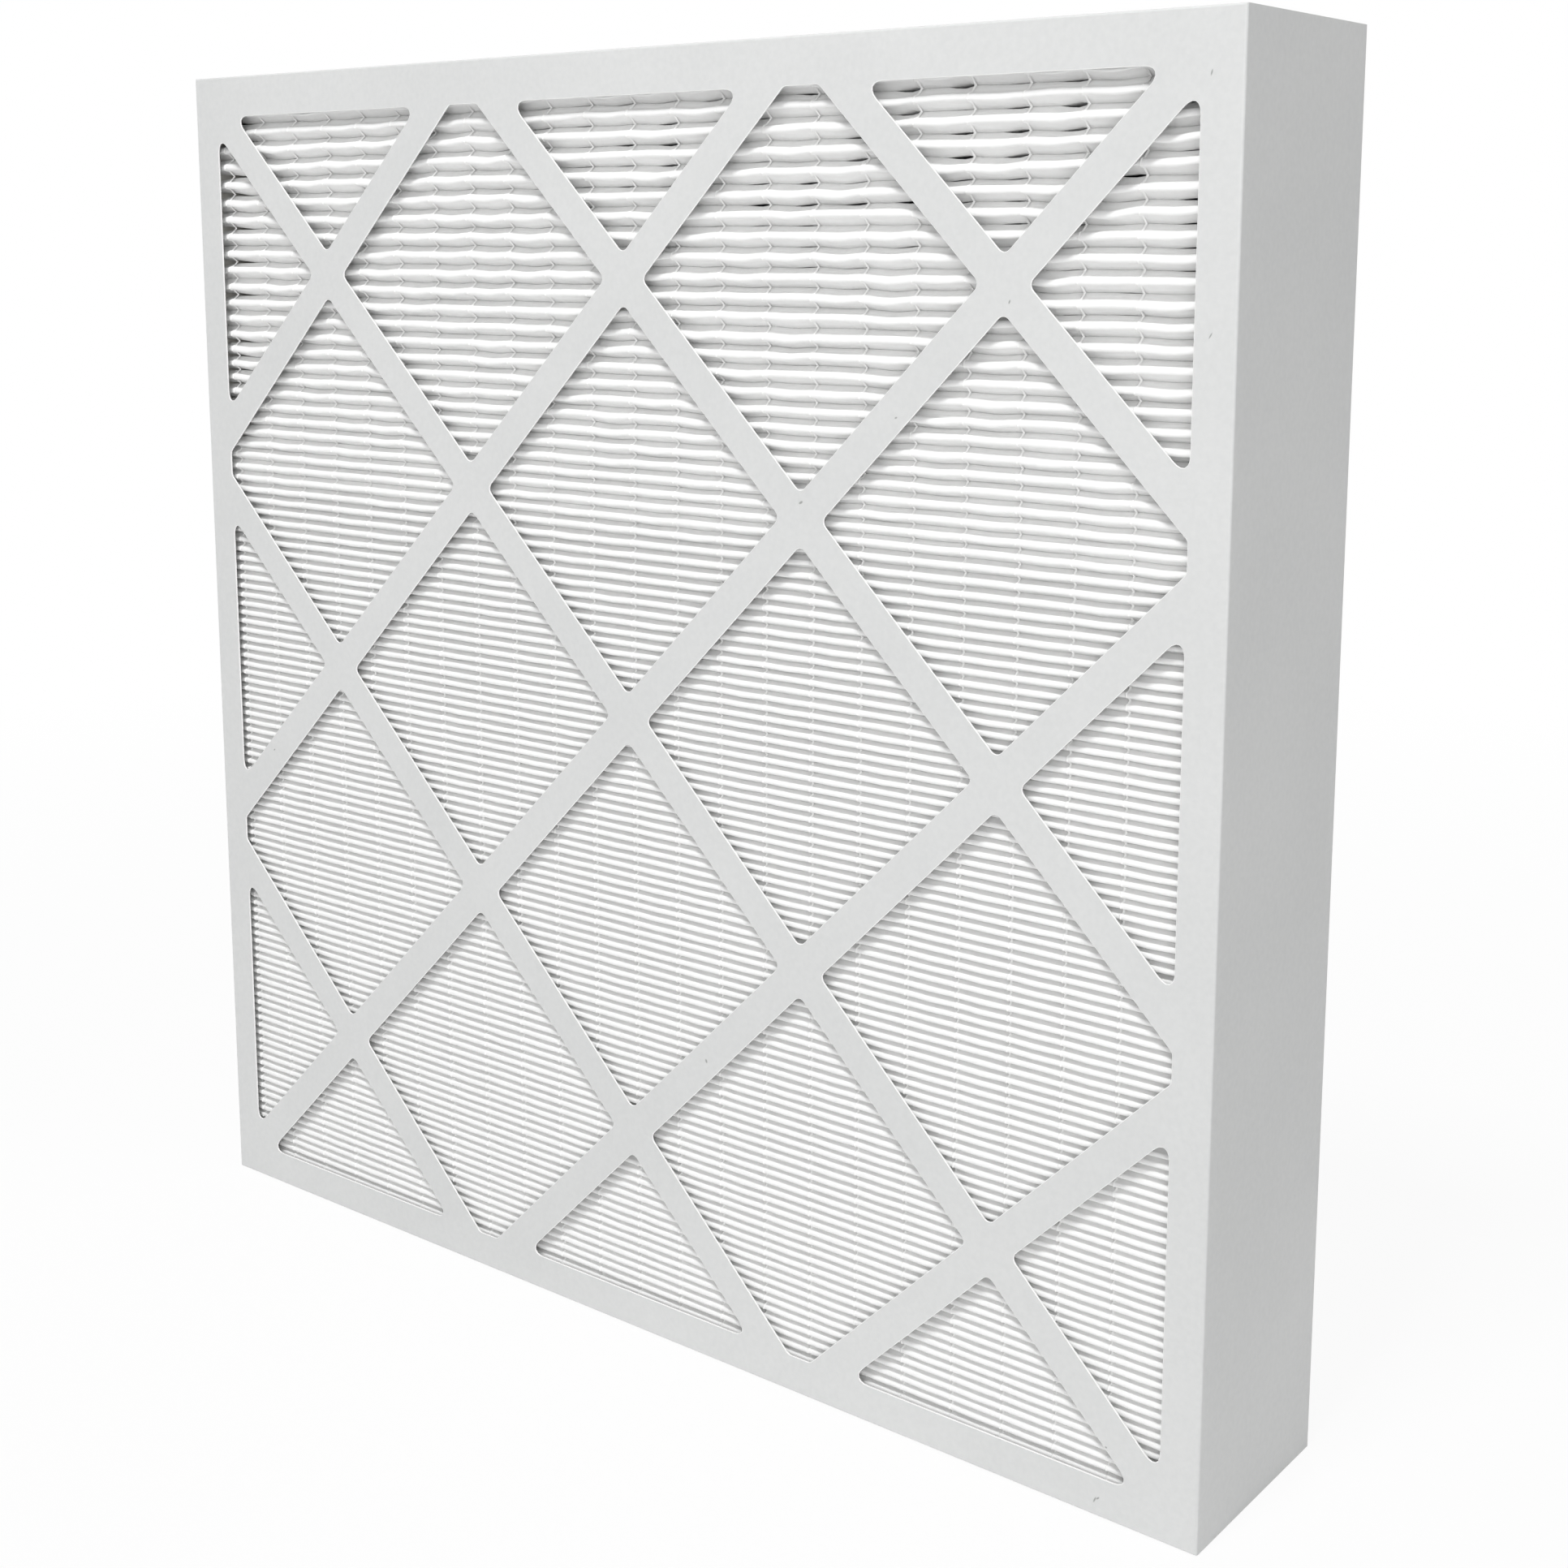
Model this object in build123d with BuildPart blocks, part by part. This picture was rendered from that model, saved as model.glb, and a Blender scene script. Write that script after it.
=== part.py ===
from build123d import *
import math
import os

# Pleated panel air filter, standing on its bottom edge.
# X runs across the face, Y in the direction of the air, Z up. The origin is the centre of the
# footprint. A die-cut board tray with a lattice face holds one folded sheet, a second tray nests
# inside it from the rear, adhesive beds it all round, and lines of hot melt keep the pleats apart.

# Outer size
frame_width = 593.7
frame_height = 593.7
frame_depth = 101.6

# Board trays
board = 0.8
fold_radius = 1.2
nest_gap = 0.3
rear_recess = 0.6
wall_end_gap = 0.6
tab_length = 32.0
tab_taper = 6.0

# Lattice of diagonal strips
cells_across = 3
cells_up = 3
strip_width = 15.6
corner_radius = 2.4
corner_facet = 30.0
side_border = 17.2
top_border = 20.0
bottom_border = 17.2

# Folded sheet
sheet = 0.5
pitch_packed = 4.3
pitch_spread = 9.0
spread_height = 412.0
spread_run = 41.5
tip_radius = 1.05
tip_growth = 0.14
outer_facets = 4
inner_facets = 2

# Adhesive and separator beads
seal = 3.0
bead_spacing = 25.4
bead_edge_margin = 8.0
bead_base = 1.7
bead_crest = 0.7
bead_height = 0.4
bead_seat = 0.1
bead_setback = 2.5

# Outer planes of the front tray, and the face of the rear tray inside its walls
front_plane = -frame_depth / 2
rear_plane = frame_depth / 2
rear_face = rear_plane - rear_recess - board
middle_height = frame_height / 2

# Rear tray, inside the front tray's walls and its corner tabs
rear_width = frame_width - 2 * (2 * board + nest_gap)
rear_height = frame_height - 2 * (board + nest_gap)
rear_wall_end = front_plane + board + wall_end_gap

# Room for the pack inside the rear tray
inner_bottom = middle_height - rear_height / 2 + board
inner_top = middle_height + rear_height / 2 - board
pack_half_width = rear_width / 2 - board - seal
pack_bottom = inner_bottom + seal
pack_top = inner_top - seal
tip_setback = bead_setback + bead_height + bead_seat
front_tips = front_plane + tip_setback
rear_tips = rear_plane - rear_recess - tip_setback
tip_middle = (front_tips + rear_tips) / 2

os.makedirs("parts", exist_ok=True)


def finish(solid, name):
    solid.label = name
    export_step(solid, f"parts/{name}.step")


def eased_corner(before, corner, after):
    """Points of a corner that short facets round off along a circle of corner_radius."""
    back = (before - corner).normalized()
    ahead = (after - corner).normalized()
    half = math.radians(back.get_angle(ahead) / 2)
    centre = corner + (back + ahead).normalized() * (corner_radius / math.sin(half))
    start = corner + back * (corner_radius / math.tan(half)) - centre
    turn = math.copysign(180 - math.degrees(2 * half), ahead.cross(back).Z)
    facets = round(abs(turn) / corner_facet)
    return [centre + start.rotate(Axis.Z, turn * k / facets) for k in range(facets + 1)]


def lattice_cell(column, row):
    """One opening between the strips, cut square by the border and eased at its corners."""
    half_x = frame_width / (2 * cells_across)
    half_z = frame_height / (2 * cells_up)
    x = column * half_x - frame_width / 2
    z = row * half_z
    window_height = frame_height - top_border - bottom_border
    with BuildSketch() as sharp:
        with BuildLine():
            Polyline((x - half_x, z), (x, z + half_z), (x + half_x, z), (x, z - half_z), close=True)
        make_face()
        offset(amount=-strip_width / 2, kind=Kind.INTERSECTION)
        with Locations((0, bottom_border + window_height / 2)):
            Rectangle(frame_width - 2 * side_border, window_height, mode=Mode.INTERSECT)
    corners = [edge @ 0 for edge in sharp.face().outer_wire().order_edges()]
    points = []
    for before, corner, after in zip(corners[-1:] + corners, corners, corners[1:] + corners[:1]):
        points += eased_corner(before, corner, after)
    with BuildSketch(Plane.XZ) as cell:
        with BuildLine():
            Polyline(*points, close=True)
        make_face()
    return cell.sketch


def lattice_cells():
    """Every opening of a face: the diamonds inside and the triangles along the border."""
    spots = [(c, r) for c in range(2 * cells_across + 1) for r in range(2 * cells_up + 1)]
    return [lattice_cell(c, r) for c, r in spots if (c + r) % 2 == 1]


def pitch_at(height):
    """The pleats are packed close low down and spread apart towards the top."""
    spread = 1 / (1 + math.exp((spread_height - height) / spread_run))
    return pitch_packed + (pitch_spread - pitch_packed) * spread


def pleat_bounds():
    """Heights between pleats, from the bottom of the pack to its top."""
    heights = [pack_bottom]
    while heights[-1] + pitch_at(heights[-1]) < pack_top:
        heights.append(heights[-1] + pitch_at(heights[-1]))
    stretch = (pack_top - pack_bottom) / (heights[-1] - pack_bottom)
    return [pack_bottom + (h - pack_bottom) * stretch for h in heights]


def fold_circles():
    """Circles that the sheet is folded round, from the bottom up: (y, z, radius, at the front)."""
    bounds = pleat_bounds()
    circles = []
    for low, high in zip(bounds, bounds[1:]):
        radius = tip_radius + tip_growth * (high - low - pitch_packed)
        if circles:
            circles.append((rear_tips - sheet / 2 - radius, low, radius, False))
        circles.append((front_tips + sheet / 2 + radius, (low + high) / 2, radius, True))
    return circles


def flank_slope(here, there):
    """Slope in degrees of the straight flank between one fold circle and the next."""
    run = abs(there[0] - here[0])
    rise = there[1] - here[1]
    slope = math.atan2(rise, run) - math.asin((here[2] + there[2]) / math.hypot(run, rise))
    return math.degrees(slope)


def arc_points(circle, radius, start, end, facets):
    """Points at even angles round one fold, in degrees from the rear direction."""
    turns = [math.radians(start + (end - start) * k / facets) for k in range(facets + 1)]
    return [(circle[0] + radius * math.cos(t), circle[1] + radius * math.sin(t)) for t in turns]


def sheet_surface(circles, entering):
    """Outline of one surface of the sheet: the air-entering one or the leaving one."""
    slopes = [0.0] + [flank_slope(a, b) for a, b in zip(circles, circles[1:])] + [0.0]
    points = []
    for circle, before, after in zip(circles, slopes, slopes[1:]):
        at_front = circle[3]
        outside = at_front == entering
        radius = circle[2] + (sheet / 2 if outside else -sheet / 2)
        facets = outer_facets if outside else inner_facets
        start = 270 - before if at_front else before - 90
        end = 90 + after if at_front else 90 - after
        points += arc_points(circle, radius, start, end, facets)
    return points


def corner_tab(side, end, width, height, first, last):
    """A tapered tab folded from the top (end +1) or bottom (-1) wall, inside a side wall."""
    root = middle_height + end * height / 2
    tip = root - end * tab_length
    with BuildSketch(Plane.YZ.offset(side * width / 2)) as tab:
        with BuildLine():
            Polyline((first, root), (last, root), (last - tab_taper, tip), (first + tab_taper, tip), close=True)
        make_face()
    return tab.sketch


cells = lattice_cells()
corners = ((-1, -1), (-1, 1), (1, -1), (1, 1))

# Inside width and height of each tray, and where its tabs start and end along Y
front_room = (
    frame_width - 2 * board,
    frame_height - 2 * board,
    front_plane + board + wall_end_gap,
    rear_plane - wall_end_gap,
)
rear_room = (
    rear_width - 2 * board,
    rear_height - 2 * board,
    rear_wall_end + wall_end_gap,
    rear_face - wall_end_gap,
)

# Front tray: the air-entering lattice face and four walls as deep as the whole filter
with BuildPart() as front_frame:
    with BuildSketch(Plane.XZ.offset(-front_plane)):
        with Locations((0, middle_height)):
            Rectangle(frame_width, frame_height)
    extrude(amount=-frame_depth)
    fillet(front_frame.faces().sort_by(Axis.Y)[0].edges(), radius=fold_radius)
    offset(amount=-board, openings=front_frame.faces().sort_by(Axis.Y)[-1])
    for side, end in corners:
        extrude(corner_tab(side, end, *front_room), amount=-side * board)
    with BuildSketch(Plane.XZ.offset(-front_plane)):
        add(cells)
    extrude(amount=-board, mode=Mode.SUBTRACT)
finish(front_frame.part, "front_frame")

# Rear tray: the same lattice on the air-leaving side, with walls inside the front tray's walls
with BuildPart() as rear_frame:
    with BuildSketch(Plane.XZ.offset(-rear_wall_end)):
        with Locations((0, middle_height)):
            Rectangle(rear_width, rear_height)
    extrude(amount=-(rear_face + board - rear_wall_end))
    fillet(rear_frame.faces().sort_by(Axis.Y)[-1].edges(), radius=fold_radius)
    offset(amount=-board, openings=rear_frame.faces().sort_by(Axis.Y)[0])
    for side, end in corners:
        extrude(corner_tab(side, end, *rear_room), amount=-side * board)
    with BuildSketch(Plane.XZ.offset(-rear_face)):
        add(cells)
    extrude(amount=-board, mode=Mode.SUBTRACT)
finish(rear_frame.part, "rear_frame")

# One folded sheet: rounded front and rear tips joined by straight flanks, with a flat last leg
# at the bottom and at the top that lies on the adhesive
circles = fold_circles()
entering = sheet_surface(circles, True)
leaving = sheet_surface(circles, False)
outline = (
    [(rear_tips, entering[0][1])]
    + entering
    + [(rear_tips, entering[-1][1]), (rear_tips, leaving[-1][1])]
    + leaving[::-1]
    + [(rear_tips, leaving[0][1])]
)
with BuildPart() as pleated_media:
    with BuildSketch(Plane.YZ.offset(-pack_half_width)):
        with BuildLine():
            Polyline(*outline, close=True)
        make_face()
    extrude(amount=2 * pack_half_width)
finish(pleated_media.part, "pleated_media")

# Side beds of adhesive, in which the cut ends of the pleats stand
for side, name in ((-1, "left_edge_seal"), (1, "right_edge_seal")):
    with BuildPart() as edge_seal:
        with BuildSketch(Plane.YZ.offset(side * pack_half_width)):
            with Locations((tip_middle, middle_height)):
                Rectangle(rear_tips - front_tips, inner_top - inner_bottom)
        extrude(amount=side * seal)
        for end in (-1, 1):
            extrude(corner_tab(side, end, *rear_room), amount=-side * board, mode=Mode.SUBTRACT)
    finish(edge_seal.part, name)

# Bottom and top beds, from the tray's walls to the last legs of the sheet
bottom_leg = entering[0][1]
top_leg = entering[-1][1]
for low, high, name in (
    (inner_bottom, bottom_leg, "bottom_edge_seal"),
    (top_leg, inner_top, "top_edge_seal"),
):
    with BuildPart() as edge_seal:
        with BuildSketch(Plane.XY.offset(low)):
            with Locations((0, tip_middle)):
                Rectangle(2 * pack_half_width, rear_tips - front_tips)
        extrude(amount=high - low)
    finish(edge_seal.part, name)

# Separator beads: straight strands of hot melt over the tips, on both sides of the pack
bead_low = circles[0][1]
bead_high = circles[-1][1]
lines_each_side = int((pack_half_width - bead_edge_margin) / bead_spacing)
positions = [k * bead_spacing for k in range(-lines_each_side, lines_each_side + 1)]
for side, seat, word in ((-1, front_tips - bead_seat, "front"), (1, rear_tips + bead_seat, "rear")):
    crest = seat + side * bead_height
    for number, x in enumerate(positions, 1):
        with BuildPart() as bead:
            with BuildSketch(Plane.XY.offset(bead_low)):
                with BuildLine():
                    Polyline(
                        (x - bead_base / 2, seat),
                        (x - bead_crest / 2, crest),
                        (x + bead_crest / 2, crest),
                        (x + bead_base / 2, seat),
                        close=True,
                    )
                make_face()
            extrude(amount=bead_high - bead_low)
        finish(bead.part, f"{word}_bead_{number:02d}")

print("pleats", (len(circles) + 1) // 2, "bead lines on each side", len(positions))
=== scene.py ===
import math
import bmesh
import bpy
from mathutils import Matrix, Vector, noise


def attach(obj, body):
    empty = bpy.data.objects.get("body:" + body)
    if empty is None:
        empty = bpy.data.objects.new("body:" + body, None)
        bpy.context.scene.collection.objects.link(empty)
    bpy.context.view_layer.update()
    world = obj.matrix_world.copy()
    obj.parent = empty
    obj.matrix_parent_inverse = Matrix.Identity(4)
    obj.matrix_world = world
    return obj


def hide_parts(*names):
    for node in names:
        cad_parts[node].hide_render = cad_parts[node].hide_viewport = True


# Pleated panel air filter: two lattice trays of board, one folded sheet between them, lines of
# hot melt over its folds and adhesive all round. Metres, X across, Y with the air, Z up.

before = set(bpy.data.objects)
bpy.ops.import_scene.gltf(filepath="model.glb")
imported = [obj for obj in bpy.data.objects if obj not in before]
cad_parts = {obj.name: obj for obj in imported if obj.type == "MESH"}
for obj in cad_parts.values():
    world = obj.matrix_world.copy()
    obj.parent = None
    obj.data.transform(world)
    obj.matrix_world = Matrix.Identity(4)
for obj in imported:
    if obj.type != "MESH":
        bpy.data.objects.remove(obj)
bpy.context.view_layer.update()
root = "root"
mm = 0.001
hair = 0.1 * mm  # how near a plane a face or a point counts as lying on it

filterSize = {
    "width": 593.7 * mm,
    "height": 593.7 * mm,
    "depth": 101.6 * mm,
}


# small helpers for working on one object at a time

def selectOnly(*objects):
    bpy.ops.object.select_all(action="DESELECT")
    for piece in objects:
        piece.select_set(True)
    bpy.context.view_layer.objects.active = objects[0]


def editOnly(piece):
    selectOnly(piece)
    bpy.ops.object.mode_set(mode="EDIT")
    bpy.ops.mesh.select_all(action="DESELECT")
    return bmesh.from_edit_mesh(piece.data)


def backToObject():
    bpy.ops.object.mode_set(mode="OBJECT")


def pick(piece, mesh, parts, wanted):
    # selects the faces, edges or vertices that a test holds for
    for part in parts:
        part.select = wanted(part)
    mesh.select_flush_mode()
    bmesh.update_edit_mesh(piece.data)


def named(name):
    piece = bpy.context.object
    piece.name = name
    piece.data.name = name
    return piece


def applyAll(piece):
    selectOnly(piece)
    for modifier in list(piece.modifiers):
        bpy.ops.object.modifier_apply(modifier=modifier.name)


def settleTransform(piece):
    selectOnly(piece)
    bpy.ops.object.transform_apply(location=True, rotation=True, scale=True)


# materials

def startMaterial(name, look):
    material = bpy.data.materials.new(name)
    material.use_nodes = True
    tree = material.node_tree
    shader = tree.nodes["Principled BSDF"]
    shader.inputs["Roughness"].default_value = look["roughness"]
    shader.inputs["Specular IOR Level"].default_value = look["specular"]
    place = tree.nodes.new("ShaderNodeTexCoord").outputs["Object"]
    return material, tree, shader, place


def grain(tree, place, scale, detail=3.0, stretch=None):
    # a noise at so many waves to the metre, stretched along an axis for fibres
    if stretch:
        mapping = tree.nodes.new("ShaderNodeMapping")
        mapping.inputs["Scale"].default_value = stretch
        tree.links.new(place, mapping.inputs["Vector"])
        place = mapping.outputs["Vector"]
    texture = tree.nodes.new("ShaderNodeTexNoise")
    texture.inputs["Scale"].default_value = scale
    texture.inputs["Detail"].default_value = detail
    tree.links.new(place, texture.inputs["Vector"])
    return texture.outputs["Fac"]


contrast = {"strong": (0.35, 0.65), "soft": (0.3, 0.7)}  # the part of a noise that shows


def spreadOut(tree, value, low, high):
    # turns the values from low to high into 0 to 1
    rangeNode = tree.nodes.new("ShaderNodeMapRange")
    rangeNode.inputs["From Min"].default_value = low
    rangeNode.inputs["From Max"].default_value = high
    tree.links.new(value, rangeNode.inputs["Value"])
    return rangeNode.outputs["Result"]


def reckon(tree, operation, *values):
    # a maths node on two values, each a number or another node's output
    sums = tree.nodes.new("ShaderNodeMath")
    sums.operation = operation
    for socket, value in enumerate(values):
        if isinstance(value, float):
            sums.inputs[socket].default_value = value
        else:
            tree.links.new(value, sums.inputs[socket])
    return sums.outputs[0]


def distanceFromMiddle(tree, place):
    length = tree.nodes.new("ShaderNodeVectorMath")
    length.operation = "LENGTH"
    tree.links.new(place, length.inputs[0])
    return length.outputs["Value"]


def tint(tree, amount, dark, light):
    mix = tree.nodes.new("ShaderNodeMix")
    mix.data_type = "RGBA"
    for socket, colour in ((6, dark), (7, light)):
        if isinstance(colour, tuple):
            mix.inputs[socket].default_value = (*colour, 1)
        else:
            tree.links.new(colour, mix.inputs[socket])
    tree.links.new(amount, mix.inputs[0])
    return mix.outputs[2]


def paint(tree, shader, amount, look):
    # the material's colour runs from its dark tone to its light one
    colour = tint(tree, amount, look["dark"], look["light"])
    tree.links.new(colour, shader.inputs["Base Color"])
    return colour


def addBump(tree, shader, height, strength, distance, before=None):
    bump = tree.nodes.new("ShaderNodeBump")
    bump.inputs["Strength"].default_value = strength
    bump.inputs["Distance"].default_value = distance
    tree.links.new(height, bump.inputs["Height"])
    if before is not None:
        tree.links.new(before, bump.inputs["Normal"])
    tree.links.new(bump.outputs["Normal"], shader.inputs["Normal"])
    return bump.outputs["Normal"]


# scales are waves to the metre, and each bump is its strength and its depth

boardLook = {
    "light": (0.735, 0.741, 0.737),
    "dark": (0.68, 0.688, 0.685),
    "roughness": 0.62,
    "specular": 0.3,
    "cloudScale": 9.0,
    "cloudShare": 0.45,
    "mottleScale": 420.0,
    "mottleShare": 0.55,
    "mottleBump": (0.18, 0.06 * mm),
    "fibreScale": 420.0,
    "fibreStretch": (1, 1, 5),
    "fibreBump": (0.12, 0.08 * mm),
    "fleck": (0.36, 0.37, 0.36),
    "fleckDepth": 2 * mm,
    "fleckFade": (1.2, 0.5),
    # small flecks and scuffs on the front face: x, z, half length, half width, turn in degrees
    "flecks": [
        (200.7, 488.1, 0.9, 0.4, 70),
        (286.4, 477.4, 1.3, 0.3, 60),
        (147.8, 440.9, 0.7, 0.4, 20),
        (45.6, 144.2, 1.0, 0.6, 110),
        (250.9, 7.0, 1.5, 0.4, 66),
        (252.3, 8.1, 1.0, 0.4, 45),
        (283.7, 570.3, 1.2, 0.35, 75),
        (-253.2, 245.2, 0.8, 0.4, 35),
        (255.5, 31.6, 0.6, 0.4, 0),
        (99.4, 403.0, 1.2, 0.55, 30),
    ],
}


def fleckMask(tree, place, look):
    # 1 inside any of the little ellipses on the front face
    total = None
    for x, z, length, width, turn in look["flecks"]:
        mapping = tree.nodes.new("ShaderNodeMapping")
        mapping.vector_type = "TEXTURE"
        mapping.inputs["Location"].default_value = (x * mm, -filterSize["depth"] / 2, z * mm)
        mapping.inputs["Rotation"].default_value = (0, -math.radians(turn), 0)
        mapping.inputs["Scale"].default_value = (length * mm, look["fleckDepth"], width * mm)
        tree.links.new(place, mapping.inputs["Vector"])
        distance = distanceFromMiddle(tree, mapping.outputs["Vector"])
        spot = spreadOut(tree, distance, *look["fleckFade"])
        total = spot if total is None else reckon(tree, "MAXIMUM", total, spot)
    return total


def makeBoard(name, withFlecks):
    look = boardLook
    material, tree, shader, place = startMaterial(name, look)
    clouds = grain(tree, place, look["cloudScale"], 2.0)
    mottles = grain(tree, place, look["mottleScale"], 4.0)
    cloud = spreadOut(tree, clouds, *contrast["strong"])
    mottle = spreadOut(tree, mottles, *contrast["soft"])
    fibres = grain(tree, place, look["fibreScale"], 3.0, look["fibreStretch"])
    cloudPart = reckon(tree, "MULTIPLY", cloud, look["cloudShare"])
    mottlePart = reckon(tree, "MULTIPLY", mottle, look["mottleShare"])
    colour = paint(tree, shader, reckon(tree, "ADD", cloudPart, mottlePart), look)
    if withFlecks:
        flecked = tint(tree, fleckMask(tree, place, look), colour, look["fleck"])
        tree.links.new(flecked, shader.inputs["Base Color"])
    fine = addBump(tree, shader, mottle, *look["mottleBump"])
    addBump(tree, shader, fibres, *look["fibreBump"], fine)
    return material


edgeLook = {
    "light": (0.97, 0.97, 0.965),
    "dark": (0.94, 0.94, 0.935),
    "roughness": 0.85,
    "specular": 0.2,
    "plyScale": 1800.0,
    "bump": (0.3, 0.08 * mm),
}


def makeCutEdge(name):
    material, tree, shader, place = startMaterial(name, edgeLook)
    plies = grain(tree, place, edgeLook["plyScale"], 2.0)
    paint(tree, shader, spreadOut(tree, plies, *contrast["strong"]), edgeLook)
    addBump(tree, shader, plies, *edgeLook["bump"])
    return material


paperLook = {
    "light": (0.945, 0.945, 0.94),
    "dark": (0.915, 0.917, 0.912),
    "roughness": 0.92,
    "specular": 0.12,
    "feltScale": 520.0,
    "feltStretch": (0.6, 1, 1),
    "fuzzScale": 1500.0,
    "bump": (0.25, 0.08 * mm),
}


def makeFilterPaper(name):
    material, tree, shader, place = startMaterial(name, paperLook)
    felt = grain(tree, place, paperLook["feltScale"], 4.0, paperLook["feltStretch"])
    paint(tree, shader, spreadOut(tree, felt, *contrast["soft"]), paperLook)
    addBump(tree, shader, grain(tree, place, paperLook["fuzzScale"]), *paperLook["bump"])
    return material


meltLook = {
    "light": (0.95, 0.95, 0.945),
    "dark": (0.90, 0.90, 0.89),
    "roughness": 0.42,
    "specular": 0.5,
    "blobScale": 260.0,
    "bump": (0.3, 0.1 * mm),
}


def makeHotMelt(name):
    material, tree, shader, place = startMaterial(name, meltLook)
    grains = grain(tree, place, meltLook["blobScale"], 2.0)
    blobs = spreadOut(tree, grains, *contrast["strong"])
    paint(tree, shader, blobs, meltLook)
    addBump(tree, shader, blobs, *meltLook["bump"])
    return material


adhesiveLook = {
    "light": (0.84, 0.83, 0.79),
    "dark": (0.74, 0.73, 0.68),
    "roughness": 0.5,
    "specular": 0.45,
    "swirlScale": 60.0,
    "swirlStretch": (1, 1, 0.4),
    "lumpScale": 140.0,
    "bump": (0.4, 0.4 * mm),
}


def makeAdhesive(name):
    material, tree, shader, place = startMaterial(name, adhesiveLook)
    swirl = grain(tree, place, adhesiveLook["swirlScale"], 3.0, adhesiveLook["swirlStretch"])
    paint(tree, shader, spreadOut(tree, swirl, *contrast["soft"]), adhesiveLook)
    addBump(tree, shader, grain(tree, place, adhesiveLook["lumpScale"]), *adhesiveLook["bump"])
    return material


frontBoard = makeBoard("boardFront", True)
plainBoard = makeBoard("boardPlain", False)
cutEdge = makeCutEdge("boardCutEdge")
filterPaper = makeFilterPaper("filterPaper")
hotMelt = makeHotMelt("hotMelt")
adhesive = makeAdhesive("bedAdhesive")
print("materials made")


# board trays

trayShape = {
    "board": 0.8 * mm,
    "foldRadius": 1.2 * mm,
    "foldSegments": 5,
    "edgeSoftness": 0.26 * mm,
    "softenAbove": 60,
    "smoothBelow": 32,
    "nestGap": 0.3 * mm,
    "rearRecess": 0.6 * mm,
    "wallEndGap": 0.6 * mm,
    "tabLength": 32 * mm,
    "tabTaper": 6 * mm,
    "tabClearance": 0.03 * mm,
    "cells": 3,
    "strip": 15.6 * mm,
    "cornerRadius": 3.3 * mm,
    "cornerSegments": 6,
    "acuteReach": 1.24,
    "angleMargin": 3,
    "shortestSide": 3 * mm,
    "cutDepth": 4 * mm,
    "sideBorder": 17.2 * mm,
    "topBorder": 20.0 * mm,
    "bottomBorder": 17.2 * mm,
    "windowMargin": 1.0 * mm,
    "asideFacing": 0.95,
    "endFacing": 0.9,
}

halfDepth = filterSize["depth"] / 2
frontPlane = -halfDepth
rearPlane = halfDepth
rearTray = {
    "width": filterSize["width"] - 2 * (2 * trayShape["board"] + trayShape["nestGap"]),
    "height": filterSize["height"] - 2 * (trayShape["board"] + trayShape["nestGap"]),
    "face": rearPlane - trayShape["rearRecess"],
    "wallEnd": frontPlane + trayShape["board"] + trayShape["wallEndGap"],
}
middleHeight = filterSize["height"] / 2


def cornerAngle(vertex):
    # angle between the two sides that meet at a corner of a flat face
    sides = [edge.other_vert(vertex).co - vertex.co for edge in vertex.link_edges]
    return math.degrees(sides[0].angle(sides[1]))


def addCellCutter(x, z):
    # one opening of the lattice as a prism: a diamond, trimmed by the border, corners rounded
    shape = trayShape
    reach = filterSize["width"] / (2 * shape["cells"]) - shape["strip"] / 2 * math.sqrt(2)
    bpy.ops.mesh.primitive_circle_add(
        vertices=4,
        radius=reach,
        fill_type="NGON",
        location=(x, 0, z),
        rotation=(math.pi / 2, 0, 0),
    )
    cutter = bpy.context.object
    settleTransform(cutter)
    editOnly(cutter)
    right = filterSize["width"] / 2 - shape["sideBorder"]
    top = filterSize["height"] - shape["topBorder"]
    for place, outward in (
        ((right, 0, 0), (1, 0, 0)),
        ((-right, 0, 0), (-1, 0, 0)),
        ((0, 0, top), (0, 0, 1)),
        ((0, 0, shape["bottomBorder"]), (0, 0, -1)),
    ):
        bpy.ops.mesh.select_all(action="SELECT")
        bpy.ops.mesh.bisect(plane_co=place, plane_no=outward, clear_outer=True)
    mesh = bmesh.from_edit_mesh(cutter.data)
    for angle in (45, 90, 135):
        sharp = [
            v
            for v in mesh.verts
            if len(v.link_edges) == 2
            and abs(cornerAngle(v) - angle) < shape["angleMargin"]
            and min(e.calc_length() for e in v.link_edges) > shape["shortestSide"]
        ]
        if not sharp:
            continue
        pick(cutter, mesh, mesh.verts, lambda v: v in sharp)
        # a bevel of a corner bulges less than a true arc where the corner is acute
        reachBack = shape["cornerRadius"] / math.tan(math.radians(angle / 2))
        if angle < 90:
            reachBack *= shape["acuteReach"]
        bpy.ops.mesh.bevel(
            offset_type="OFFSET",
            offset=reachBack,
            segments=shape["cornerSegments"],
            affect="VERTICES",
        )
        mesh = bmesh.from_edit_mesh(cutter.data)
    bpy.ops.mesh.select_all(action="SELECT")
    bpy.ops.mesh.extrude_region_move(TRANSFORM_OT_translate={"value": (0, shape["cutDepth"], 0)})
    bpy.ops.mesh.select_all(action="SELECT")
    bpy.ops.mesh.normals_make_consistent(inside=False)
    backToObject()
    return cutter


def addLatticeCutter():
    halfCell = filterSize["width"] / (2 * trayShape["cells"])
    last = 2 * trayShape["cells"]
    cutters = []
    for column in range(last + 1):
        for row in range(last + 1):
            if (column + row) % 2 == 1:
                x = column * halfCell - filterSize["width"] / 2
                cutters.append(addCellCutter(x, row * halfCell))
    selectOnly(*cutters)
    bpy.ops.object.join()
    return named("latticeCutter")


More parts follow.
